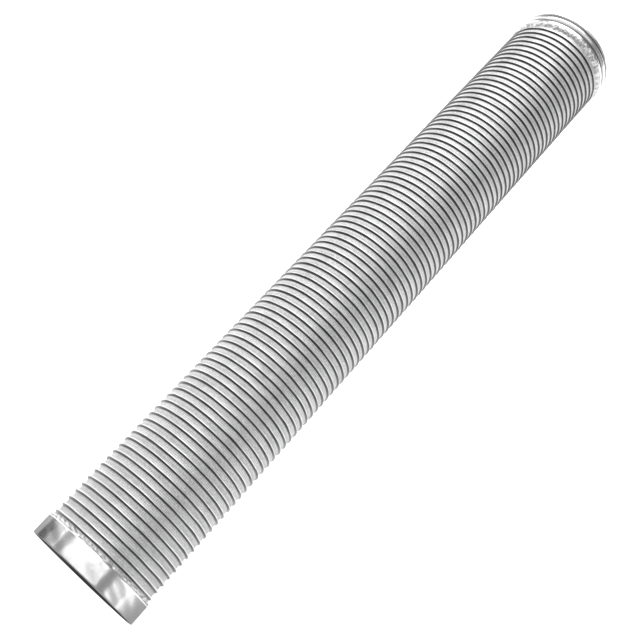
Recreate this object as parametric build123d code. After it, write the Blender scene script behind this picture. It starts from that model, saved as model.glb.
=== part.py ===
from build123d import *
import math
import os

os.makedirs("parts", exist_ok=True)

# A bellows expansion joint lying along +X, +Z up, in millimetres. The origin is the centre of the
# near cuff's end face, on the tube's axis, so every piece is a ring turned about the X axis.

# Driving dimensions.
OVERALL_LENGTH = 750.0  # end face to end face
NEAR_END = 25.5  # near end face to the middle of the first crest
FAR_END = 27.5  # middle of the last crest to the far end face
CRESTS = 92
CRESTS_PER_SEGMENT = 2

CREST_R = 56.0  # outside of the crests
LAND_R = 54.3  # outside of the flat lands between the crests
BELLOWS_WALL = 0.8  # two plies of 0.4 mm sheet
CREST_FOOT = 3.2  # width of a crest where it leaves the land
CREST_NOSE = 1.3  # width of its rounded nose
NOSE_DROP = 0.5  # how far the nose's ends lie below its top
SEGMENT_GAP = 1.5  # free space between two segments, for their movement

CUFF_R = 57.15  # outside of a 114.3 mm pipe end
BORE_CLEARANCE = 0.05  # between a cuff's bore and the bellows' neck inside it
NEAR_CUFF_LENGTH = 20.0
NEAR_SHOULDER = 1.2  # rounding of the near cuff's inner end
NECK_IN_CUFF = 7.0  # how far a neck reaches into its cuff

WELD_CAP_R = 56.3  # middle of the weld beads' domed caps
NEAR_WELD_WIDTH = 2.7
FAR_WELD_WIDTH = 5.0

FAR_CUFF_LENGTH = 17.0
FAR_START_R = 56.7  # the far cuff's flat start beside its weld
FAR_START_LENGTH = 2.6
GROOVE_R = 55.5  # bottom of the two rolled grooves
FIRST_GROOVE = 12.6  # far end face to the middle of the first groove
FIRST_BEAD = 7.4  # far end face to the top of the first rolled bead
SECOND_GROOVE = 3.9
RIM_BEAD = 1.5  # far end face to the top of the rim's rolled bead
BEAD_R = 56.8
RIM_R = 56.7

# Worked out from them.
PITCH = (OVERALL_LENGTH - NEAR_END - FAR_END) / (CRESTS - 1)
SEGMENTS = CRESTS // CRESTS_PER_SEGMENT
CUFF_BORE_R = LAND_R + BORE_CLEARANCE
FAR_CUFF_START = OVERALL_LENGTH - FAR_CUFF_LENGTH
FAR_WELD_START = FAR_CUFF_START - FAR_WELD_WIDTH


def ring(edges):
    """Turn a closed outline of (x, radius) edges, drawn in the XZ plane, once round the X axis."""
    return revolve(make_face(Wire(edges)), Axis.X, 360)


def at(x, r):
    """A point of the half section: x along the tube, r out from its axis."""
    return (x, 0, r)


def path(points):
    """Straight edges through a list of half-section points."""
    return [Line(a, b) for a, b in zip(points, points[1:])]


def crest_x(number):
    """Middle of crest number 0, 1, 2 and so on."""
    return NEAR_END + number * PITCH


def crest_line(x, foot_r, top_r, foot, nose):
    """One crest of a bellows ply, from its near foot to its far foot: flank, rounded nose, flank."""
    start, end = at(x - foot / 2, foot_r), at(x + foot / 2, foot_r)
    left, right = at(x - nose / 2, top_r - NOSE_DROP), at(x + nose / 2, top_r - NOSE_DROP)
    return [Line(start, left), ThreePointArc(left, at(x, top_r), right), Line(right, end)]


def ply_line(start, end, crests, foot_r, top_r, foot, nose):
    """One side of the bellows wall from x = start to x = end, with lands between the crests."""
    edges, here = [], at(start, foot_r)
    for x in crests:
        crest = crest_line(x, foot_r, top_r, foot, nose)
        edges += [Line(here, crest[0] @ 0)] + crest
        here = crest[-1] @ 1
    return edges + [Line(here, at(end, foot_r))]


def bellows_segment(number):
    """Segment 0, 1, 2 and so on: two crests, their lands, and a neck at either end of the bellows."""
    first = number * CRESTS_PER_SEGMENT
    crests = [crest_x(first + k) for k in range(CRESTS_PER_SEGMENT)]
    start = crests[0] - PITCH / 2 + SEGMENT_GAP / 2
    end = crests[-1] + PITCH / 2 - SEGMENT_GAP / 2
    if number == 0:
        start = NEAR_CUFF_LENGTH - NECK_IN_CUFF
    if number == SEGMENTS - 1:
        end = FAR_CUFF_START + NECK_IN_CUFF
    inner_r, inner_top_r = LAND_R - BELLOWS_WALL, CREST_R - BELLOWS_WALL
    outside = ply_line(start, end, crests, LAND_R, CREST_R, CREST_FOOT, CREST_NOSE)
    inner_foot, inner_nose = CREST_FOOT - 2 * BELLOWS_WALL, CREST_NOSE - BELLOWS_WALL
    inside = ply_line(start, end, crests, inner_r, inner_top_r, inner_foot, inner_nose)
    ends = [Line(at(x, inner_r), at(x, LAND_R)) for x in (start, end)]
    return ring(outside + inside + ends)


def near_cuff():
    """Plain weld cuff: square at its open end, rounded at the shoulder beside the weld."""
    centre_x, centre_r = NEAR_CUFF_LENGTH - NEAR_SHOULDER, CUFF_R - NEAR_SHOULDER
    diagonal = NEAR_SHOULDER * math.sqrt(0.5)
    round_start = at(centre_x, CUFF_R)
    shoulder = at(NEAR_CUFF_LENGTH, centre_r)
    outside = path([at(0, CUFF_BORE_R), at(0, CUFF_R), round_start])
    round_middle = at(centre_x + diagonal, centre_r + diagonal)
    rounding = [ThreePointArc(round_start, round_middle, shoulder)]
    inside = path([shoulder, at(NEAR_CUFF_LENGTH, CUFF_BORE_R), at(0, CUFF_BORE_R)])
    return ring(outside + rounding + inside)


def far_cuff():
    """Far cuff with a flat start, then two rolled beads with a groove before each."""
    end = OVERALL_LENGTH
    start = at(FAR_CUFF_START, FAR_START_R)
    flat_end = at(FAR_CUFF_START + FAR_START_LENGTH, FAR_START_R)
    waves = [
        flat_end,
        at(end - FIRST_GROOVE, GROOVE_R),
        at(end - FIRST_BEAD, BEAD_R),
        at(end - SECOND_GROOVE, GROOVE_R),
        at(end - RIM_BEAD, RIM_R),
        at(end, GROOVE_R),
    ]
    outside = [Line(start, flat_end), Spline(waves, tangents=[(1, 0, 0), (0, 0, -1)])]
    corners = [waves[-1], at(end, CUFF_BORE_R), at(FAR_CUFF_START, CUFF_BORE_R), start]
    return ring(outside + path(corners))


def weld_bead(low_x, high_x, low_r, high_r):
    """Fillet weld between a bellows neck and the end face of a cuff, with a domed cap."""
    low, high = at(low_x, low_r), at(high_x, high_r)
    cap_top = at((low_x + high_x) / 2, WELD_CAP_R)
    foot = [Line(high, at(high_x, CUFF_BORE_R)), Line(at(high_x, CUFF_BORE_R), low)]
    return ring([ThreePointArc(low, cap_top, high)] + foot)


def near_weld():
    return weld_bead(
        NEAR_CUFF_LENGTH + NEAR_WELD_WIDTH, NEAR_CUFF_LENGTH, CUFF_BORE_R, CUFF_R - NEAR_SHOULDER
    )


def far_weld():
    return weld_bead(FAR_WELD_START, FAR_CUFF_START, CUFF_BORE_R, FAR_START_R)


pieces = {
    "near_cuff": near_cuff(),
    "near_weld": near_weld(),
    "far_weld": far_weld(),
    "far_cuff": far_cuff(),
}
for segment in range(SEGMENTS):
    pieces[f"bellows_segment_{segment + 1:02d}"] = bellows_segment(segment)

for name, solid in pieces.items():
    export_step(solid, f"parts/{name}.step")
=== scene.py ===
# %% [markdown]
# # A long bellows expansion joint in Blender
#
# The object is a stainless tube, 750 mm long, made of one thin sheet that has been rolled into 92 low crests. A plain
# cuff is welded to one end and a cuff with two rolled beads to the other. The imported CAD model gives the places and
# the moving bodies. This file gives the looks, and each cell says what a piece is and why it is made the way it is.

# %% Load the frame
import math
import bpy
import numpy as np
from mathutils import Euler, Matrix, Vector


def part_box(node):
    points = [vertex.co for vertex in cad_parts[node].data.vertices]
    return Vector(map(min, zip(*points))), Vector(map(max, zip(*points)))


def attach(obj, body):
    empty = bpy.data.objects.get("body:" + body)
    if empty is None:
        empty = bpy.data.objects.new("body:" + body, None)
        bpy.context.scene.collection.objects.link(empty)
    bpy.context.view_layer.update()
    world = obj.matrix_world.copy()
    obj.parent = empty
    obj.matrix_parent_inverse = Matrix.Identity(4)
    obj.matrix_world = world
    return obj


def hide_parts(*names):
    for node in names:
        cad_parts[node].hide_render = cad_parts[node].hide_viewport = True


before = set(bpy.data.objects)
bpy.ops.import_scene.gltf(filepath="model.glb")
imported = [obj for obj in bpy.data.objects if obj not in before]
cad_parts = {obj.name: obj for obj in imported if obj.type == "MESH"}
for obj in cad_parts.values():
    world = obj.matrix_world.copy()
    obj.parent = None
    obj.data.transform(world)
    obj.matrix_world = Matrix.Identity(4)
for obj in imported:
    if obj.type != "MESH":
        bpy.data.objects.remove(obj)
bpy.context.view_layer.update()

# %% [markdown]
# ## Sizes
#
# Every place along the tube is read from the CAD nodes: the two cuffs, the two welds, and the short rings of two
# crests each that stand for the flexing sheet. Half of the distance between two neighbouring rings' middles is the
# crest pitch. Sizes that a box can't tell, such as the height of a crest, are named where they are first needed.

# %% Sizes along the tube
MM = 0.001
CREST_HEIGHT = 1.7 * MM  # of a crest above the lands
SHEET = 0.8 * MM  # thickness of the sheet
BORE_CLEARANCE = 0.05 * MM  # between a cuff's bore and the sheet inside it
RINGS = sum(name.startswith("bellows_segment_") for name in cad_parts)


def span(node):
    """Lowest and highest x of a CAD node."""
    low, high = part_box(node)
    return low.x, high.x


def ring_node(number):
    """Name of ring 1, 2, 3 and so on."""
    return f"bellows_segment_{number:02d}"


def ring_body(number):
    """The moving body that ring 1, 2, 3 and so on belongs to."""
    return {1: "near_end", RINGS: "far_end"}.get(number, f"segment_{number:02d}")


near_face, near_shoulder = span("near_cuff")
far_shoulder, far_face = span("far_cuff")
near_weld_high = span("near_weld")[1]
far_weld_low, far_weld_high = span("far_weld")
second_ring = sum(span(ring_node(2))) / 2
third_ring = sum(span(ring_node(3))) / 2
PITCH = (third_ring - second_ring) / 2
CREST_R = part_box(ring_node(2))[1].z
CUFF_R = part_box("near_cuff")[1].z
LAND_R = CREST_R - CREST_HEIGHT
BORE_R = LAND_R + BORE_CLEARANCE
print(f"pitch {PITCH / MM:.3f} mm, crest radius {CREST_R / MM:.2f} mm, rings {RINGS}")


def ring_middle(number):
    """x of the land in the middle of ring 1, 2, 3 and so on."""
    return second_ring + (number - 2) * 2 * PITCH


def crest_x(number):
    """x of crest 0, 1, 2 and so on. Ring 1 holds crests 0 and 1."""
    return ring_middle(1) + (number - 0.5) * PITCH


# %% [markdown]
# ## Turned surfaces
#
# Every piece is a ring round the X axis. Blender's Spin or Screw modifier could turn a profile, but then the radius
# would be the same all round. One function makes them all instead: it takes a closed outline, as arrays of position
# along the tube and radius, and carries it once round. A radius may also change round the ring, which is how weld
# ripples and small out-of-round errors come in as real shape. Rows and columns are joined by wrapping indices, so
# there is no seam and no open edge.

# %% A mesh from arrays
SHARP_EDGE = math.radians(50)  # edges that turn by more than this are shaded sharp


def quad_object(name, points, quads, uv):
    """An object from arrays: points (n, 3), quads (m, 4) of point numbers, and uv (4 m, 2), a place for each corner
    of each quad."""
    mesh = bpy.data.meshes.new(name)
    mesh.vertices.add(len(points))
    mesh.vertices.foreach_set("co", points.astype(np.float32).ravel())
    mesh.loops.add(quads.size)
    mesh.loops.foreach_set("vertex_index", quads.astype(np.int32).ravel())
    mesh.polygons.add(len(quads))
    mesh.polygons.foreach_set("loop_start", np.arange(0, quads.size, 4, dtype=np.int32))
    mesh.polygons.foreach_set("use_smooth", np.ones(len(quads), bool))
    mesh.uv_layers.new(name="surface").data.foreach_set("uv", uv.astype(np.float32).ravel())
    mesh.update(calc_edges=True)
    mesh.set_sharp_from_angle(angle=SHARP_EDGE)
    piece = bpy.data.objects.new(name, mesh)
    bpy.context.scene.collection.objects.link(piece)
    return piece


# %% A closed ring from an outline
def turned(name, x, r, around, **marks):
    """A ring mesh. x and r are arrays of outline points, or grids of (steps round, outline points). At the angle a
    round the X axis, a point stands at (x, r cos a, r sin a). The UV map is metres round the land circle and metres
    along the outline. Each of the marks, one number per outline point, becomes an attribute for the material. The
    outline's signed area, half the sum of x[k] r[k+1] - x[k+1] r[k], tells which way round the faces point outwards."""
    angle = np.linspace(0, 2 * math.pi, around, endpoint=False)[:, None]
    x = np.broadcast_to(x, (around, np.shape(x)[-1]))
    r = np.broadcast_to(r, (around, np.shape(r)[-1]))
    points = np.stack([x, r * np.cos(angle), r * np.sin(angle)], -1)
    along = x.shape[1]
    i, j = np.meshgrid(np.arange(around), np.arange(along), indexing="ij")
    i2, j2 = (i + 1) % around, (j + 1) % along
    quads = np.stack([i * along + j, i * along + j2, i2 * along + j2, i2 * along + j], -1)
    mid_r, mid_x = r.mean(0), x.mean(0)
    area = 0.5 * np.sum(mid_x * np.roll(mid_r, -1) - np.roll(mid_x, -1) * mid_r)
    steps = np.hypot(np.diff(mid_x, append=mid_x[0]), np.diff(mid_r, append=mid_r[0]))
    travel = np.concatenate([[0], np.cumsum(steps)])
    u0, v0 = i * 2 * math.pi * LAND_R / around, travel[j]
    u1, v1 = (i + 1) * 2 * math.pi * LAND_R / around, travel[j + 1]
    uv = np.stack([np.stack(c, -1) for c in ((u0, v0), (u0, v1), (u1, v1), (u1, v0))], -2)
    if area > 0:
        quads, uv = quads[..., ::-1], uv[..., ::-1, :]
    piece = quad_object(name, points.reshape(-1, 3), quads.reshape(-1, 4), uv.reshape(-1, 2))
    for mark, values in marks.items():
        values = np.broadcast_to(values, (around, along)).astype(np.float32)
        piece.data.attributes.new(mark, "FLOAT", "POINT").data.foreach_set("value", values.ravel())
    return piece


# %% Small helpers for outlines
def full_turn(steps):
    """Angles of that many steps once round the X axis."""
    return np.linspace(0, 2 * math.pi, steps, endpoint=False)


def arc(x, r, radius, start, end, points):
    """Outline points on a circular arc about (x, r), from one angle to another in degrees. 0 points along +X."""
    angle = np.radians(np.linspace(start, end, points))
    return np.stack([x + radius * np.cos(angle), r + radius * np.sin(angle)], -1)


def waves(angle, seed, lowest, highest, count):
    """A smooth random wave round a ring: the sum of some sines with whole numbers of cycles between lowest and
    highest, each with its own random phase, scaled so that its usual size is 1."""
    rng = np.random.default_rng(seed)
    cycles = rng.integers(lowest, highest + 1, count)
    phases = rng.uniform(0, 2 * math.pi, count)
    return np.sin(angle[..., None] * cycles + phases).sum(-1) * math.sqrt(2 / count)


# %% [markdown]
# ## The bellows sheet
#
# One crest is a narrow rib with steep flanks and a round nose. Between ribs the sheet is a plain cylinder.
#
# The real sheet flexes. One skin that bends with all its bodies could be used, but it would need a blend across
# forty-five joints. Here the sheet is a row of rings of two crests each, and each ring rides on its own body, so a
# joint must not open a gap. Neighbouring rings therefore lap on the land between them: a thin sleeve at one ring's
# near end runs over a tongue at its neighbour's far end, which stands 0.15 mm lower. They pass over each other as the
# tube bends, grows longer or shortens, like the scales of a fish.

# %% Outline of one crest
CREST_FOOT = 3.7 * MM  # width of a crest where it leaves the land
CREST_POWER = 0.8  # below 1 rounds the nose and steepens the flanks
CREST_STEPS = 19  # outline points over a crest
LAND_STEPS = 3  # outline points on half a land
SLIT = 0.35 * MM  # half width of the slit that a crest leaves in the bore
TONGUE, TONGUE_DROP = 1.25 * MM, 0.15 * MM
SLEEVE, SLEEVE_WALL = 0.8 * MM, 0.04 * MM
SLEEVE_ROOT = CREST_FOOT / 2 - 0.47 * MM  # from a crest's middle to where its sleeve gets thick
SLEEVE_STEP = 0.01 * MM  # length of the step from thin to thick


def outer_crest(sleeve, tongue):
    """Outside of one pitch, centred on its crest, from mid land to mid land. With x from -w/2 to w/2 over the foot w,
    the radius is land + height * ((1 + cos(2 pi x / w)) / 2) ** power."""
    x = CREST_FOOT * np.linspace(-0.5, 0.5, CREST_STEPS)
    rise = (0.5 + 0.5 * np.cos(2 * math.pi * x / CREST_FOOT)) ** CREST_POWER
    crest = np.stack([x, LAND_R + CREST_HEIGHT * rise], -1)
    land = np.linspace(-PITCH / 2, x[0], LAND_STEPS + 1)[:-1]
    before = np.stack([land, np.full(LAND_STEPS, LAND_R)], -1)
    after = before[::-1] * [-1, 1]
    if sleeve:
        before[0, 0] -= SLEEVE
    if tongue:
        after[:, 0] = [x[-1] + TONGUE_DROP / 2, PITCH / 2, PITCH / 2 + TONGUE]
        after[:, 1] -= TONGUE_DROP
    return np.concatenate([before, crest, after])


def inner_crest(sleeve, tongue):
    """Inside of one pitch: the plain bore with the narrow slit that each crest leaves in it. A sleeve is thin as far
    as the crest's root, so that the neighbour's tongue has room under it."""
    bore = LAND_R - SHEET
    x = np.array([-PITCH / 2, -3 * SLIT, -SLIT, 0, SLIT, 3 * SLIT, PITCH / 2])
    depth = np.array([0, 0, 0.75, 1, 0.75, 0, 0]) * CREST_HEIGHT
    pitch = np.stack([x, bore + depth], -1)
    if tongue:
        pitch[-1, 0] += TONGUE
    if sleeve:
        thin = LAND_R - SLEEVE_WALL
        start = [[-PITCH / 2 - SLEEVE, thin], [-SLEEVE_ROOT, thin], [-SLEEVE_ROOT + SLEEVE_STEP, bore]]
        pitch = np.concatenate([start, pitch[1:]])
    return pitch


print("outline points of one pitch:", len(outer_crest(False, False)), "+", len(inner_crest(False, False)))


# %% [markdown]
# ## A ring's whole outline
#
# A ring holds two crests. Its outline runs out along the outside of both and back along the inside. The ring at
# either end of the tube runs on as a plain neck inside its cuff instead of lapping over a neighbour.

# %% Outline of one ring
def rolled_sheet(crests, near_neck=None, far_neck=None):
    """Closed outline of a ring over the two crests given, out along the outside and back along the inside. It starts
    with a sleeve and ends with a tongue, or runs on as a plain neck to the x given. Returns x, r and, for each point,
    its crest, its place t from -1 to 1 over that crest's foot, and 1 on the outside or 0 on the inside."""
    first, last = crests
    laps = [(first, near_neck is None, False), (last, False, far_neck is None)]
    out = [outer_crest(sleeve, tongue) + [crest_x(crest), 0] for crest, sleeve, tongue in laps]
    back = [inner_crest(sleeve, tongue) + [crest_x(crest), 0] for crest, sleeve, tongue in laps]
    out, back = [np.concatenate([a[:-1], b]) for a, b in (out, back)]
    if near_neck is not None:
        out[0, 0] = back[0, 0] = near_neck
    if far_neck is not None:
        out[-1, 0] = back[-1, 0] = far_neck
    x, r = np.concatenate([out, back[::-1]]).T
    owner = np.clip(np.rint((x - crest_x(0)) / PITCH), first, last).astype(int)
    t = np.clip((x - crest_x(owner)) / (CREST_FOOT / 2), -1, 1)
    return x, r, owner, t, 1.0 * (np.arange(len(x)) < len(out))


print("outline points of one ring:", len(rolled_sheet([2, 3])[0]))


# %% [markdown]
# ## Rolling errors and marks
#
# Rolling such ribs never comes out perfect, so each one leans a little and is a few hundredths of a millimetre high
# or low in places. A texture could fake that, but the light on a polished crest shows it best as real shape. Each
# ring also carries marks, numbers on its points that tell the finish where the crests, their two flanks and the
# inside are.

# %% Build the sheet
AROUND = 144  # steps round a ring
LEAN = 0.10 * MM
HEIGHT_ERROR = 0.05 * MM
LEAN_SEED, HEIGHT_SEED = 100, 300
sheet_angle = full_turn(AROUND)
crest_numbers = range(2 * RINGS)
lean = np.stack(
    [waves(sheet_angle, LEAN_SEED + k, lowest=1, highest=14, count=6) for k in crest_numbers], -1
)
height = np.stack(
    [waves(sheet_angle, HEIGHT_SEED + k, lowest=1, highest=22, count=8) for k in crest_numbers], -1
)


def sheet_ring(name, crests, **necks):
    """One ring with its own rolling errors, which fade out towards each crest's foot as sqrt(cos(pi t / 2)). Its marks
    for the finish: height is the rise above the land, near_flank is -sin(pi t) where t < 0, far_flank is sin(pi t)
    where t > 0, and inside is 1 on the inside."""
    x, r, owner, t, outer = rolled_sheet(crests, **necks)
    marks = {
        "height": np.clip((r - LAND_R) / CREST_HEIGHT, 0, 1) * outer,
        "near_flank": np.clip(-np.sin(math.pi * t), 0, 1) * outer,
        "far_flank": np.clip(np.sin(math.pi * t), 0, 1) * outer,
        "inside": 1.0 - outer,
    }
    share = np.sqrt(np.clip(np.cos(math.pi * t / 2), 0, 1)) * outer
    x = x + LEAN * lean[:, owner] * share
    r = r + HEIGHT_ERROR * height[:, owner] * share
    return turned(name, x, r, AROUND, **marks)


end_necks = {
    1: {"near_neck": span(ring_node(1))[0]},
    RINGS: {"far_neck": span(ring_node(RINGS))[1]},
}
skins = []
for ring in range(1, RINGS + 1):
    crests = [2 * ring - 2, 2 * ring - 1]
    skin = sheet_ring(f"bellows_ring_{ring:02d}", crests, **end_necks.get(ring, {}))
    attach(skin, ring_body(ring))
    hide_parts(ring_node(ring))
    skins.append(skin)
print("sheet rings:", len(skins), "faces each:", len(skins[1].data.polygons))

# %% [markdown]
# ## The near cuff
#
# The near cuff is a cut length of polished tube: a small bevel at its open end, a rounded shoulder at the weld, and
# the slight waviness of hand polishing. A plain cylinder with a Bevel modifier would give the edges, but not the
# waviness, and on polished metal it is the waviness that bends the reflections.

# %% Near cuff
BEVEL = 0.5 * MM  # at the open end
SHOULDER = 1.4 * MM  # rounding beside the weld
BODY_START, BODY_MARGIN, BODY_STEPS = 1 * MM, 0.5 * MM, 12  # the straight part between them
BORE_EDGE = 0.3 * MM  # chamfer of a cuff's bore
POLISH, RIPPLE = 0.05 * MM, 0.03 * MM  # long and short waves left by polishing
RIPPLE_SLANT = 40  # radians for each metre along the tube
CUFF_AROUND = 256
cuff_angle = full_turn(CUFF_AROUND)


def near_cuff_outline():
    """Outside from the open end to the shoulder, then back through the bore."""
    edge = arc(near_face + BEVEL, CUFF_R - BEVEL, BEVEL, 180, 90, 5)
    body = np.linspace(near_face + BODY_START, near_shoulder - SHOULDER - BODY_MARGIN, BODY_STEPS)
    body = np.stack([body, np.full(BODY_STEPS, CUFF_R)], -1)
    shoulder = arc(near_shoulder - SHOULDER, CUFF_R - SHOULDER, SHOULDER, 90, 0, 8)
    bore = [[near_shoulder, BORE_R], [near_face + BORE_EDGE, BORE_R], [near_face, BORE_R + BORE_EDGE]]
    return np.concatenate([edge, body, shoulder, bore]).T


x, r = near_cuff_outline()
polish = POLISH * waves(cuff_angle, seed=7, lowest=2, highest=5, count=3)[:, None]
ripple_angle = cuff_angle[:, None] + RIPPLE_SLANT * x
ripple = RIPPLE * waves(ripple_angle, seed=8, lowest=6, highest=16, count=6)
near_cuff = turned("near_cuff_polished", x, r + polish + ripple, CUFF_AROUND)
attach(near_cuff, "near_end")
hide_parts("near_cuff")
print("near cuff faces:", len(near_cuff.data.polygons))

# %% [markdown]
# ## The far cuff
#
# The far cuff has been rolled into two round beads with a groove before each, which grip a clamp or a seal. Circular
# arcs would do, but half cosine waves between the grooves and the beads join each other without a kink, and their
# heights and places are easy to read in one list.

# %% Far cuff
FAR_START_R = LAND_R + 2.4 * MM  # the flat start beside the weld
FLAT_START = 2.6 * MM  # its length
GROOVE_R = LAND_R + 1.2 * MM
BEAD_R = CUFF_R - 0.3 * MM
FIRST_GROOVE = far_face - 12.6 * MM
FIRST_BEAD = far_face - 7.4 * MM
SECOND_GROOVE = far_face - 4.4 * MM
SECOND_BEAD = far_face - 1.9 * MM
RIM, RIM_DROP = 0.6 * MM, 0.7 * MM  # rounding of the rim, and how far it starts below the second bead
FAR_POLISH = 0.04 * MM


def far_cuff_outline():
    """Flat start, half cosine waves from knot to knot, a rolled rim, and back through the bore. Between two knots the
    radius is low + (high - low) * (1 - cos(pi share)) / 2, where share goes from 0 to 1."""
    flat = np.linspace(far_shoulder, far_shoulder + FLAT_START, 4)
    flat = np.stack([flat, np.full(4, FAR_START_R)], -1)
    x = np.linspace(far_shoulder + FLAT_START, far_face - RIM, 48)
    knots = [x[0], FIRST_GROOVE, FIRST_BEAD, SECOND_GROOVE, SECOND_BEAD, x[-1]]
    levels = [FAR_START_R, GROOVE_R, BEAD_R, GROOVE_R, BEAD_R, BEAD_R - RIM_DROP]
    place = np.clip(np.searchsorted(knots, x, side="right") - 1, 0, len(knots) - 2)
    share = (x - np.take(knots, place)) / np.diff(knots)[place]
    rise = 0.5 - 0.5 * np.cos(math.pi * share)
    r = np.take(levels, place) + np.diff(levels)[place] * rise
    beads = np.stack([x, r], -1)[1:]
    rim = arc(far_face - RIM, BEAD_R - RIM_DROP - RIM, RIM, 90, 0, 4)
    bore = [[far_face, BORE_R + BORE_EDGE], [far_face - BORE_EDGE, BORE_R], [far_shoulder, BORE_R]]
    return np.concatenate([flat, beads, rim, bore]).T


x, r = far_cuff_outline()
far_polish = FAR_POLISH * waves(cuff_angle, seed=9, lowest=2, highest=6, count=3)[:, None]
far_cuff = turned("far_cuff_beaded", x, r + far_polish, CUFF_AROUND)
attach(far_cuff, "far_end")
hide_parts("far_cuff")
print("far cuff faces:", len(far_cuff.data.polygons))

# %% [markdown]
# ## The weld seams
#
# A hand-made seam is a row of small overlapping pools of metal, with an uneven edge on both sides. Hundreds of small
# drops could be placed along it, but their overlaps would cut through each other. Here the bead is one domed strip
# carried round the tube. Its dome is modulated by crescent ripples, whose phase bends back across the bead, and by
# coarser waves. Its edges run under the cuff and the sheet, so that no gap shows.

# %% Outline of a weld bead
WELD_AROUND = 900
WELD_STEPS = 17  # outline points across a bead
EDGE_DRIFT = 0.55 * MM  # how far a bead's edge wanders
POOL_POWER = 0.7  # below 1 makes round pools with sharp valleys
LUMPS = 0.16 * MM
WELD_FOOT_R = BORE_R - 0.02 * MM  # a bead's hidden foot
weld_angle = full_turn(WELD_AROUND)[:, None]


def weld_bead(name, low, high, low_r, high_r, crown, pools, seed):
    """A bead from x = low to x = high. With t from 0 to 1 across it, its radius is the straight line between the
    edge radii, plus crown times 4 t (1 - t), plus the ripples of the given number of pools, plus coarse lumps."""
    t = np.linspace(0, 1, WELD_STEPS)[None, :]
    dome = 4 * t * (1 - t)
    drift = EDGE_DRIFT * waves(weld_angle, seed, lowest=9, highest=60, count=14)
    drift = drift * (0.35 + 0.65 * np.abs(2 * t - 1))
    jitter = 1.3 * waves(weld_angle, seed + 1, lowest=3, highest=24, count=8)
    timing = pools * weld_angle + jitter + 2.4 * dome
    pool = np.abs(np.sin(timing / 2)) ** POOL_POWER
    lumps = waves(weld_angle + 0.25 * t, seed + 2, lowest=30, highest=140, count=16)
    x = low + (high - low) * t + drift
    r = low_r + (high_r - low_r) * t + crown * dome * (0.75 + 0.45 * pool)
    r = r + LUMPS * lumps * dome ** 0.5
    ends_x = np.concatenate([np.full_like(weld_angle, high), np.full_like(weld_angle, low)], 1)
    ends_r = np.full_like(ends_x, WELD_FOOT_R)
    return turned(name, np.concatenate([x, ends_x], 1), np.concatenate([r, ends_r], 1), WELD_AROUND)


# %% Weld beads
near_seam = weld_bead(
    "near_weld_seam",
    low=near_shoulder - 0.6 * MM,
    high=near_weld_high,
    low_r=CUFF_R - 0.5 * MM,
    high_r=LAND_R + 0.1 * MM,
    crown=1.0 * MM,
    pools=130,
    seed=21,
)
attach(near_seam, "near_end")
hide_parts("near_weld")
far_seam = weld_bead(
    "far_weld_seam",
    low=far_weld_low,
    high=far_weld_high + 0.4 * MM,
    low_r=LAND_R + 0.1 * MM,
    high_r=FAR_START_R - 0.1 * MM,
    crown=1.3 * MM,
    pools=96,
    seed=41,
)
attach(far_seam, "far_end")
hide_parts("far_weld")
print("weld faces:", len(near_seam.data.polygons), len(far_seam.data.polygons))


# %% [markdown]
# ## Shader maths
#
# Node trees are hard to read when every sum is three lines of code. This small class wraps a socket, so that
# `0.2 + 0.3 * grain` adds its Math nodes by itself, and its `node` method makes any other node from a type, its
# settings and its inputs.

# %% The shader helper
class Socket:
    """A value in a material's node tree. Ordinary sums on it make Math nodes."""

    def __init__(self, tree, socket=None):
        self.tree, self.socket = tree, socket

    def node(self, kind, settings=None, inputs=None, output=0):
        """A new node. Settings are its properties; inputs are values or Sockets, by name or number."""
        made = self.tree.nodes.new("ShaderNode" + kind)
        for key, value in (settings or {}).items():
            setattr(made, key, value)
        for key, value in (inputs or {}).items():
            if isinstance(value, Socket):
                self.tree.links.new(value.socket, made.inputs[key])
            else:
                made.inputs[key].default_value = value
        return Socket(self.tree, made.outputs[output])

    def split(self, vector):
        """The three numbers of a vector."""
        first = self.node("SeparateXYZ", None, {0: vector})
        outputs = first.socket.node.outputs
        return [Socket(self.tree, outputs[k]) for k in range(3)]

    def ramp(self, value, low, high):
        """0 below low, 1 above high, straight between."""
        return self.node("MapRange", None, {0: value, 1: low, 2: high, 3: 0.0, 4: 1.0})

    def mix(self, mask, first, second):
        """A colour from first to second by a mask. Each is a grey level or a colour Socket."""
        first, second = [c if isinstance(c, Socket) else (c, c, c, 1.0) for c in (first, second)]
        return self.node("Mix", {"data_type": "RGBA"}, {0: mask, 6: first, 7: second}, output=2)

    def noise(self, vector, scale, detail):
        """Smooth random clouds from 0 to 1, about so many in each unit of the vector."""
        return self.node("TexNoise", None, {"Vector": vector, "Scale": scale, "Detail": detail})

    def bump(self, height, distance, strength):
        """A normal that makes the surface look as if it rose by distance where height is 1."""
        return self.node("Bump", None, {"Height": height, "Distance": distance, "Strength": strength})

    def maths(self, operation, *values):
        """One Math node."""
        return self.node("Math", {"operation": operation}, dict(enumerate(values)))

    def __add__(self, other):
        return self.maths("ADD", self, other)

    def __sub__(self, other):
        return self.maths("SUBTRACT", self, other)

    def __rsub__(self, other):
        return self.maths("SUBTRACT", other, self)

    def __mul__(self, other):
        return self.maths("MULTIPLY", self, other)

    def __pow__(self, other):
        return self.maths("POWER", self, other)

    __radd__ = __add__
    __rmul__ = __mul__


# %% Materials and their inputs
def metal(name, **constants):
    """A material with a metallic Principled shader. Constants are set on the shader's own sockets. Returns the
    material, the shader's inputs and a blank Socket to start sums from."""
    material = bpy.data.materials.new(name)
    material.use_nodes = True
    tree = material.node_tree
    shader = next(n for n in tree.nodes if n.type == "BSDF_PRINCIPLED")
    shader.inputs["Metallic"].default_value = 1.0
    for key, value in constants.items():
        shader.inputs[key.replace("_", " ")].default_value = value
    return material, shader.inputs, Socket(tree)


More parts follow.
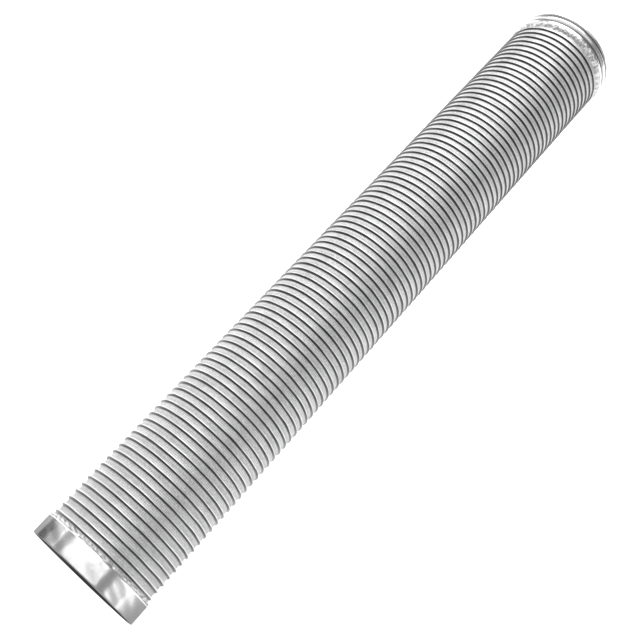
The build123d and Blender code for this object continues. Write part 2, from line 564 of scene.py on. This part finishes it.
def feed(inputs, name, value):
    """Link a Socket into one of the shader's inputs."""
    value.tree.links.new(value.socket, inputs[name])


# %% [markdown]
# ## Bellows sheet finish
#
# The sheet is bare stainless. Its lands carry a very fine diamond grain, about 1.7 mm from dimple to dimple round the
# tube and along it, like cloth pressed into the metal. The crests are rubbed brighter and smoother, the flank of each
# crest that faces the near cuff is painted dark as shade, and the inside is painted dark as shade.
#
# The grain could be a picture, but a formula has no edges and stays sharp: it is the product of two sine waves on the
# UV map's diagonals, with a whole number of cycles round the tube so that it closes. The marks on the rings' points
# say where the crests, their flanks and the inside are. Clouds of noise make the edge of the painted shade uneven.

# %% Bellows material
GRAIN_CYCLES = 100  # of each diagonal wave, once round the tube
LAND_DARK, LAND_BRIGHT = 0.42, 0.98  # colours of the grain
# The last two colours are painted shade: on the near flank of each crest, and inside the sheet.
CREST_COLOUR, NEAR_FLANK_SHADE_COLOUR, INSIDE_SHADE_COLOUR = 1.0, 0.07, 0.12
FAR_SHADE, FAR_SHADE_COLOUR = 0.15, 0.10  # a faint dark line at the foot of a crest's far flank
LAND_DULLNESS = 0.6  # how much of the metallic look the lands lose
GRAIN_RELIEF = 0.18 * MM


def bellows_finish():
    """Grain on the lands, bright crests, painted shade on their near flanks, painted shade inside."""
    sheen = {"Sheen_Weight": 1.0, "Sheen_Roughness": 0.35}
    coat = {"Coat_Weight": 0.5, "Coat_Roughness": 0.3}
    material, inputs, start = metal("bellows_sheet", **sheen, **coat)
    height, near_flank, far_flank, inside = [
        start.node("Attribute", {"attribute_name": mark}, output="Fac")
        for mark in ("height", "near_flank", "far_flank", "inside")
    ]
    across, along = start.split(start.node("UVMap", {"uv_map": "surface"}))[:2]
    turns = GRAIN_CYCLES / LAND_R
    one = start.maths("SINE", (across + along) * turns)
    two = start.maths("SINE", (across - along) * turns)
    dimple = one * two * 0.5 + 0.5
    place = start.node("TexCoord", output="Object")
    cloud = start.noise(place, 60.0, 4.0)
    fine = start.noise(place, 900.0, 2.0)
    crest = start.ramp(height, 0.12, 0.55)
    land = 1 - crest
    grain = start.ramp(dimple * 0.4 + fine * 0.8, 0.35, 0.85)
    # Painted shade on the near flank of each crest, its edge made uneven by clouds of noise.
    scale = start.ramp(near_flank + 0.5 * (cloud - 0.5), 0.02, 0.55)
    shade = start.ramp(far_flank, 0.1, 0.7) * land * FAR_SHADE
    colour = start.mix(grain, LAND_DARK, LAND_BRIGHT)
    colour = start.mix(crest, colour, CREST_COLOUR)
    colour = start.mix(scale, colour, NEAR_FLANK_SHADE_COLOUR)
    colour = start.mix(shade, colour, FAR_SHADE_COLOUR)
    # Painted shade inside the sheet.
    feed(inputs, "Base Color", start.mix(inside, colour, INSIDE_SHADE_COLOUR))
    feed(inputs, "Metallic", 1 - LAND_DULLNESS * land)
    feed(inputs, "Roughness", 0.34 + land * (0.08 + 0.14 * fine) + 0.05 * cloud)
    relief = (dimple * 0.7 + fine * 0.3) * land
    feed(inputs, "Normal", start.bump(relief, GRAIN_RELIEF, 0.6))
    return material


bellows_metal = bellows_finish()
for skin in skins:
    skin.data.materials.append(bellows_metal)
print("bellows nodes:", len(bellows_metal.node_tree.nodes))

# %% [markdown]
# ## Cuff finish
#
# The cuffs are polished with a belt that runs round them, so their fine scratches are noise stretched round the tube
# by a Mapping node, with duller smudges where they have been handled. The bore and the grooves were never polished:
# a mask made from the distance to the axis turns them dull, and the same mask paints them dark as painted shade.

# %% Cuff material
SCRATCHES = (12.0, 2600.0, 1.0)  # for each metre round the tube and along it
# The third colour is painted shade for the bore and the grooves, which are also left rough.
POLISHED, SMUDGED, UNPOLISHED_SHADED = 0.92, 0.72, 0.16  # colours
SCRATCH_RELIEF = 0.02 * MM


def radius_mask(start, low, high):
    """0 where the surface is nearer the X axis than low, 1 beyond high."""
    y, z = start.split(start.node("TexCoord", output="Object"))[1:]
    return start.ramp((y * y + z * z) ** 0.5, low, high)


def cuff_finish(name, dark_radius, bright_radius):
    """Polished metal, dull and painted dark as shade towards the axis between two radii: in the bore and the grooves.
    """
    material, inputs, start = metal(name)
    uv = start.node("UVMap", {"uv_map": "surface"})
    stretched = start.node("Mapping", None, {"Vector": uv, "Scale": SCRATCHES})
    scratches = start.noise(stretched, 1.0, 3.0)
    smudge = start.noise(start.node("TexCoord", output="Object"), 60.0, 5.0)
    dull = start.ramp(smudge, 0.5, 0.75)
    # Painted shade: towards the axis, in the bore and the grooves, the colour is painted dark; the same mask makes them
    # rough.
    polished_and_lit = radius_mask(start, dark_radius, bright_radius)
    polished = start.mix(dull, POLISHED, SMUDGED)
    feed(inputs, "Base Color", start.mix(polished_and_lit, UNPOLISHED_SHADED, polished))
    feed(inputs, "Roughness", 0.14 + 0.08 * scratches + 0.12 * dull + 0.3 * (1 - polished_and_lit))
    feed(inputs, "Normal", start.bump(scratches, SCRATCH_RELIEF, 0.4))
    return material


near_polish = cuff_finish("near_cuff_polish", BORE_R + 0.3 * MM, BORE_R + 1.2 * MM)
beaded_polish = cuff_finish("far_cuff_polish", GROOVE_R + 0.1 * MM, GROOVE_R + 0.9 * MM)
near_cuff.data.materials.append(near_polish)
far_cuff.data.materials.append(beaded_polish)
print("cuff nodes:", len(near_polish.node_tree.nodes))

# %% [markdown]
# ## Weld finish
#
# The weld metal is left as it froze: patches of pale, matt oxide on bare grey metal. Two sizes of noise are enough,
# because the large ripples are real shape already, and a little bump adds the grit that is too small to model.

# %% Weld material
WELD_DARK, WELD_BRIGHT = 0.50, 0.92  # colours
WELD_GRIT = 0.4 * MM


def weld_finish():
    """Bare weld metal, partly covered with paler and less metallic patches."""
    material, inputs, start = metal("weld_metal")
    place = start.node("TexCoord", output="Object")
    lumps = start.noise(place, 420.0, 4.0)
    tint = start.noise(place, 150.0, 3.0)
    bright = start.ramp(lumps, 0.30, 0.60)
    feed(inputs, "Base Color", start.mix(bright, WELD_DARK, WELD_BRIGHT))
    feed(inputs, "Metallic", 1 - 0.4 * bright)
    feed(inputs, "Roughness", 0.22 + 0.22 * tint + 0.08 * (1 - bright))
    feed(inputs, "Normal", start.bump(lumps, WELD_GRIT, 0.7))
    return material


weld_metal = weld_finish()
for piece in (near_seam, far_seam):
    piece.data.materials.append(weld_metal)
print("weld nodes:", len(weld_metal.node_tree.nodes))

# %% [markdown]
# ## The studio's panels
#
# Polished metal shows nothing but its surroundings, so these are built as carefully as the object. The tube is held
# level by its pipe in use, so the pale floor lies clear below it and takes no hard shadow. A dark flag and a grey
# card stand beside and below the near cuff and give it its grey bands; the camera doesn't see them. Four pale walls
# stand round the floor as a plain background; only the camera sees them.

# %% Floor, flag, card and walls
FLOOR_DROP = 0.25
CARD_DROP = 0.24
FLAG_SIDE = 0.62  # y of the flag and of the card's edge under it
REACH = 6.0  # from the middle of the floor to its edges


def stage_panel(name, corners, colour, glow):
    """A flat panel of the studio with a plain matt paint that may glow a little."""
    mesh = bpy.data.meshes.new(name)
    mesh.from_pydata(corners, [], [(0, 1, 2, 3)])
    panel = bpy.data.objects.new(name, mesh)
    bpy.context.scene.collection.objects.link(panel)
    paint = bpy.data.materials.new(name + "_paint")
    paint.use_nodes = True
    shader = next(n for n in paint.node_tree.nodes if n.type == "BSDF_PRINCIPLED")
    shader.inputs["Base Color"].default_value = (colour, colour, colour, 1)
    shader.inputs["Roughness"].default_value = 0.9
    shader.inputs["Emission Color"].default_value = (1, 1, 1, 1)
    shader.inputs["Emission Strength"].default_value = glow
    mesh.materials.append(paint)
    return panel


def rectangle(x0, y0, x1, y1):
    """The four corners of a rectangle, from two opposite ones."""
    return [(x0, y0), (x1, y0), (x1, y1), (x0, y1)]


floor_corners = rectangle(-REACH, -REACH, REACH, REACH)
flag_corners = [(x, FLAG_SIDE, z) for x, z in rectangle(-0.3, -0.25, 0.06, 0.05)]
card_corners = [(x, y, -CARD_DROP) for x, y in rectangle(-0.4, -1.6, 0.05, FLAG_SIDE)]
stage_panel("floor", [(x, y, -FLOOR_DROP) for x, y in floor_corners], 0.8, 0.72)
flag = stage_panel("flag", flag_corners, 0.03, 0)
card = stage_panel("card", card_corners, 0.30, 0.15)
for panel in (flag, card):
    panel.visible_camera = panel.visible_shadow = False
for side in range(4):
    (x0, y0), (x1, y1) = floor_corners[side], floor_corners[(side + 1) % 4]
    wall_corners = [(x0, y0, -FLOOR_DROP), (x1, y1, -FLOOR_DROP), (x1, y1, REACH), (x0, y0, REACH)]
    wall = stage_panel(f"backdrop_{side}", wall_corners, 0.5, 0.85)
    wall.visible_glossy = wall.visible_diffuse = wall.visible_shadow = False
print("studio panels:", 3 + 4)

# %% [markdown]
# ## Light
#
# Large soft lights hang overhead in a row along the tube, dim over its middle and bright beyond its far end, because
# the far lands reflect light that comes in low from there. A panel on either side whitens the tube's edges, and one
# narrow strip draws a bright line on the near cuff. An even, weak sky fills in the rest.

# %% Softboxes and sky
# Each light's centre, size, radiance, and tilt about X in degrees.
LIGHTS = {
    "near_softbox": ((0.17, 0.075, 1.6), (0.46, 2.75), 1.12, 0),
    "middle_softbox": ((0.95, 0.075, 1.6), (1.10, 2.75), 0.7, 0),
    "side_softbox": ((1.025, 2.35, 1.6), (1.35, 1.70), 0.9, 0),
    "far_softbox": ((3.35, 1.25, 1.6), (3.30, 3.50), 4.0, 0),
    "strip_light": ((-0.35, 2.0, 1.03), (1.30, 0.03), 2.5, -64),
    "left_panel": ((0.90, 2.1, 0.5), (1.50, 1.40), 1.0, -90),
    "right_panel": ((0.42, -2.1, 0.5), (0.55, 1.40), 1.8, 90),
}
SKY = 0.26


def softbox(name, centre, size, radiance, tilt):
    """A flat rectangular area light that faces down before its tilt. Its power is radiance * pi * area."""
    lamp = bpy.data.lights.new(name, "AREA")
    lamp.shape, lamp.size, lamp.size_y = "RECTANGLE", size[0], size[1]
    lamp.energy = radiance * math.pi * size[0] * size[1]
    holder = bpy.data.objects.new(name, lamp)
    holder.location, holder.rotation_euler = centre, (math.radians(tilt), 0, 0)
    holder.visible_camera = False
    bpy.context.scene.collection.objects.link(holder)


for name, values in LIGHTS.items():
    softbox(name, *values)

world = bpy.data.worlds.new("sky")
bpy.context.scene.world = world
world.use_nodes = True
sky = next(n for n in world.node_tree.nodes if n.type == "BACKGROUND")
sky.inputs["Color"].default_value = (1, 1, 1, 1)
sky.inputs["Strength"].default_value = SKY
print("lights:", len(LIGHTS))

# %% [markdown]
# ## Camera
#
# The camera stands above the near end and looks steeply down the tube, so that the near cuff is large and the far
# end small. The lens is shifted, which moves the picture without turning the camera.

# %% Camera
camera = bpy.data.objects.new("camera", bpy.data.cameras.new("camera"))
bpy.context.scene.collection.objects.link(camera)
camera.location = (-0.0203, -0.2331, 0.8440)
DOWN, HEADING = math.radians(61.68), math.radians(40.35)
camera.rotation_euler = Euler((math.pi / 2 - DOWN, 0, HEADING - math.pi / 2))
camera.data.lens = 54.7
camera.data.shift_x, camera.data.shift_y = 0.068, -0.066
camera.data.clip_start = 0.05
bpy.context.scene.camera = camera
bpy.context.scene.view_settings.view_transform = "Standard"
print("camera at", tuple(round(c, 3) for c in camera.location))
